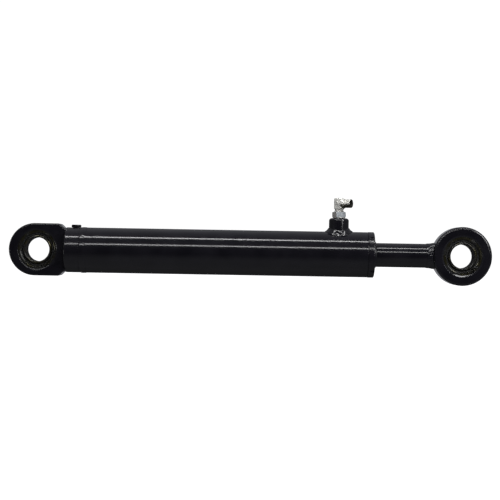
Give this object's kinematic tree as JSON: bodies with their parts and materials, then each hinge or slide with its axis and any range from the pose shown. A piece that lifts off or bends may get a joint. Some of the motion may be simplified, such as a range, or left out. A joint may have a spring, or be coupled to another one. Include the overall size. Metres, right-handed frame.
{
  "type": "hydraulic cylinder",
  "caption": "Double-acting welded hydraulic cylinder with a spherical bearing in each eye, a sliding rod, a screwed gland and an elbow fitting on its gland-end port.",
  "frame": {"origin": "centre of the spherical bearing in the cap-end eye, on the axis of its pin", "axes": "+X along the cylinder towards the rod end, +Y along both pins away from the viewer, +Z towards the side with the ports"},
  "size_m": [0.6404, 0.0614, 0.1142],
  "materials": {
    "black_paint": "gloss black enamel over steel",
    "bearing_steel": "phosphated and greased bearing steel",
    "nitrile": "matt black nitrile rubber",
    "zinc_plate": "bright zinc plate",
    "hard_chrome": "ground and polished hard chrome",
    "cast_iron": "machined cast iron",
    "ground_steel": "machined steel",
    "polyurethane": "satin blue polyurethane",
    "nylon": "glass-filled nylon",
    "bronze_ptfe": "bronze-filled PTFE"
  },
  "bodies": {
    "barrel": {"barrel_tube": "black_paint", "cap_eye": "black_paint", "cap_weld": "black_paint", "cap_port_plug": "black_paint", "cap_port_o_ring": "nitrile", "cap_bearing_race": "bearing_steel", "cap_bearing_seal_front": "nitrile", "cap_bearing_seal_rear": "nitrile", "cap_circlip_front": "bearing_steel", "cap_circlip_rear": "bearing_steel", "cap_grease_nipple": "zinc_plate", "gland": "black_paint", "gland_o_ring": "nitrile", "gland_backup_ring": "bronze_ptfe", "rod_seal": "polyurethane", "rod_wiper": "nitrile", "rod_guide_ring_inner": "nylon", "rod_guide_ring_outer": "nylon", "port_boss": "black_paint", "port_boss_weld": "black_paint", "elbow_body": "zinc_plate", "elbow_lock_nut": "zinc_plate", "elbow_washer": "zinc_plate", "elbow_o_ring": "nitrile"},
    "piston_rings": {"piston_seal": "bronze_ptfe", "piston_seal_energiser": "nitrile", "piston_guide_ring_front": "nylon", "piston_guide_ring_rear": "nylon"},
    "rod": {"piston_rod": "hard_chrome", "piston": "cast_iron", "piston_nut": "ground_steel", "piston_o_ring": "nitrile", "rod_eye": "black_paint", "rod_eye_weld": "black_paint", "rod_bearing_race": "bearing_steel", "rod_bearing_seal_front": "nitrile", "rod_bearing_seal_rear": "nitrile", "rod_circlip_front": "bearing_steel", "rod_circlip_rear": "bearing_steel", "rod_grease_nipple": "zinc_plate"},
    "cap_ball": {"cap_bearing_ball": "bearing_steel"},
    "rod_ball": {"rod_bearing_ball": "bearing_steel"}
  },
  "joints": [
    {"name": "rod_slide", "type": "slide", "parent": "barrel", "child": "piston_rings", "axis": [1, 0, 0], "range_m": [0, 0.254]},
    {"name": "rod_turn", "type": "hinge", "parent": "piston_rings", "child": "rod", "pos_m": [0, 0, 0], "axis": [1, 0, 0], "continuous": true},
    {"name": "cap_ball_turn", "type": "hinge", "parent": "barrel", "child": "cap_ball", "pos_m": [0, 0, 0], "axis": [0, 1, 0], "continuous": true},
    {"name": "rod_ball_turn", "type": "hinge", "parent": "rod", "child": "rod_ball", "pos_m": [0.5634, 0, 0], "axis": [0, 1, 0], "continuous": true}
  ]
}
